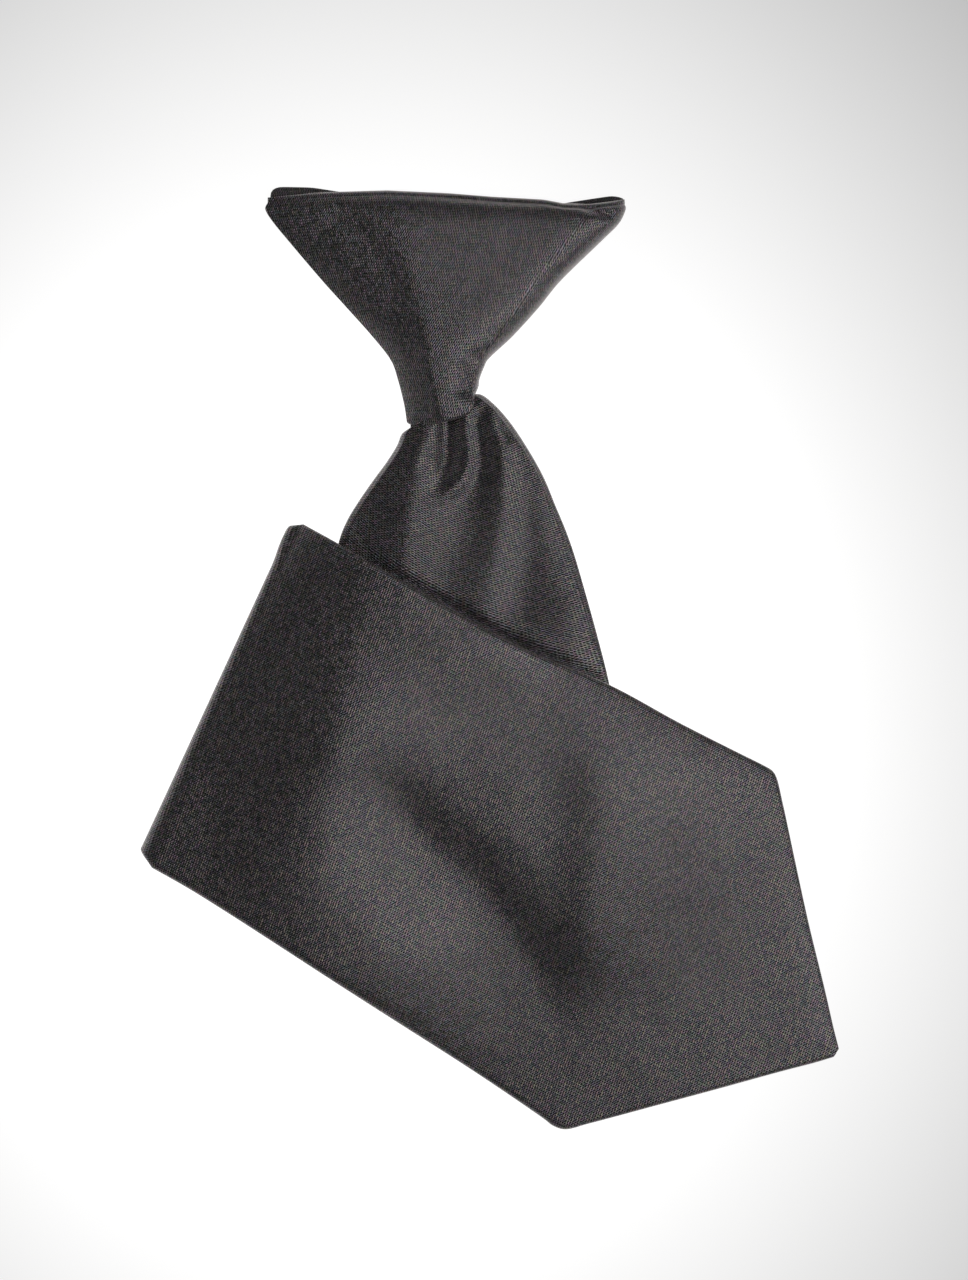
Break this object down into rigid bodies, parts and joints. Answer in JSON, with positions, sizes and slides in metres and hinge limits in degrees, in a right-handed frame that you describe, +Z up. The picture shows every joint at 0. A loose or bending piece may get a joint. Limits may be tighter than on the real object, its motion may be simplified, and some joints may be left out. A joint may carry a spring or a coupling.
{
  "type": "pre-tied elastic neck tie, folded",
  "caption": "Pre-tied satin neck tie lying flat: winged knot, gathered neck and wide pointed blade folded over itself, with an elastic neck band behind.",
  "frame": {"origin": "middle of the tie's footprint, on the surface that it lies on", "axes": "+Z up from the surface, +Y from the blade towards the knot's top edge, +X towards the blade's tip side"},
  "size_m": [0.1526, 0.2052, 0.0124],
  "materials": {
    "satin": "black satin twill, soft sheen",
    "facing": "black satin, reverse side",
    "elastic": "black woven elastic, matt"
  },
  "bodies": {
    "root": {"blade": "satin", "knot_wrap": "satin", "knot_back": "facing", "neck_elastic": "elastic"}
  },
  "joints": []
}
